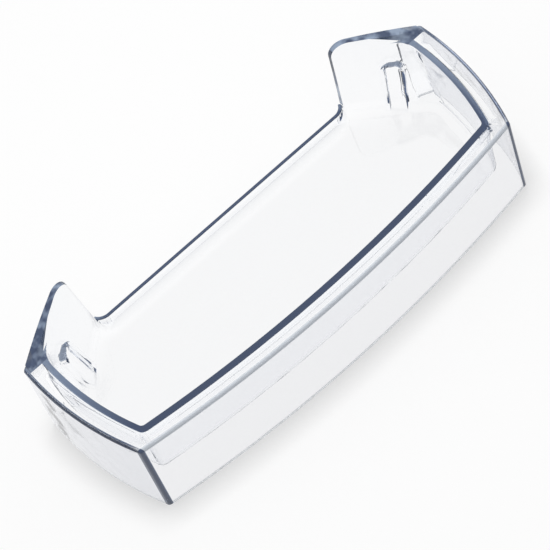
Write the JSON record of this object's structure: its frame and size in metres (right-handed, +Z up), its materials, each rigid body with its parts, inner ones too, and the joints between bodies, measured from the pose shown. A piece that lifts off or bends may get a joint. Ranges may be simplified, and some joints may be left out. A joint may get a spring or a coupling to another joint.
{
  "type": "fridge door shelf",
  "caption": "Clear moulded refrigerator door shelf with a bowed front, hollow rim, low back lip and raised rear wings with pockets that drop over the lugs of the door.",
  "frame": {"origin": "under the middle of the shelf, on the surface that the lower edge of the skirt stands on", "axes": "+X along the shelf, -Y out of the bowed front, +Y towards the fridge door, +Z up"},
  "size_m": [0.4014, 0.1622, 0.0977],
  "materials": {
    "clear_plastic": "clear, polished as moulded"
  },
  "bodies": {
    "root": {"door_shelf": "clear_plastic"}
  },
  "joints": []
}
